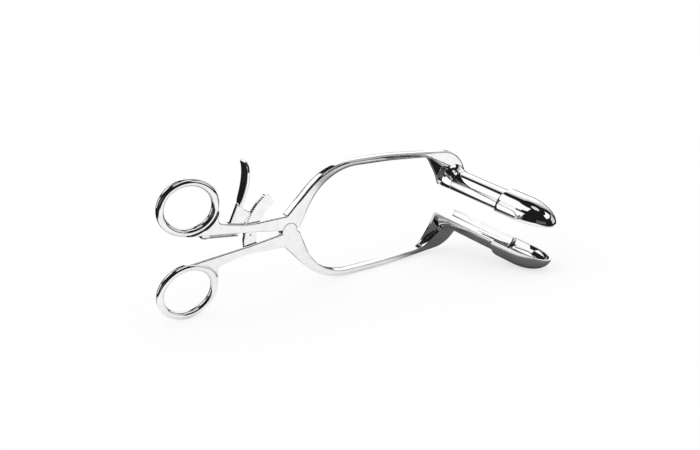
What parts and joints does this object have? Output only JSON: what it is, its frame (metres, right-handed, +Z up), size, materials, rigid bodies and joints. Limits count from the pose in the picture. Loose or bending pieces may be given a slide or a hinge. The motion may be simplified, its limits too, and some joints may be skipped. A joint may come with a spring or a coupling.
{
  "type": "anal speculum",
  "caption": "Self-retaining two-bladed speculum: two ring-handled levers on a pivot, half-tube blades at right angles, toothed rack and sprung thumb pawl.",
  "frame": {"origin": "centre of the bounding box at floor level, with the instrument standing as pictured", "axes": "+X from the finger rings towards the blades, +Z up from the floor, the blades point along -Y and slightly down"},
  "size_m": [0.2246, 0.1008, 0.0871],
  "materials": {
    "lever_steel": "mirror polished",
    "blade_steel": "mirror polished",
    "ratchet_steel": "mirror polished",
    "pin_steel": "mirror polished",
    "spring_steel": "satin"
  },
  "bodies": {
    "lower": {"lower_lever": "lever_steel", "lower_blade": "blade_steel", "pivot_pin": "pin_steel", "ratchet_rack": "ratchet_steel", "rack_rivets": "pin_steel"},
    "upper": {"upper_lever": "lever_steel", "upper_blade": "blade_steel", "pawl_pin": "pin_steel", "spring_screw": "pin_steel"},
    "pawl": {"thumb_pawl": "ratchet_steel"},
    "spring": {"leaf_spring": "spring_steel"}
  },
  "joints": [
    {"name": "spread", "type": "hinge", "parent": "lower", "child": "upper", "pos_m": [-0.02669, 0.04073, 0.03909], "axis": [-0.0028, -0.982, -0.1888], "range_deg": [-9.6, 9.6]},
    {"name": "pawl_release", "type": "hinge", "parent": "upper", "child": "pawl", "pos_m": [-0.05904, 0.03921, 0.04745], "axis": [-0.0028, -0.982, -0.1888], "range_deg": [-5.7, 8], "stiffness_Nm_per_rad": 0.02},
    {"name": "spring_flex", "type": "hinge", "parent": "upper", "child": "spring", "pos_m": [-0.08196, 0.0395, 0.04632], "axis": [-0.0028, -0.982, -0.1888], "range_deg": [-1.6, 1.1]}
  ],
  "couplings": [
    {"joint": "spring_flex", "follows": "pawl_release", "ratio": -0.184}
  ]
}
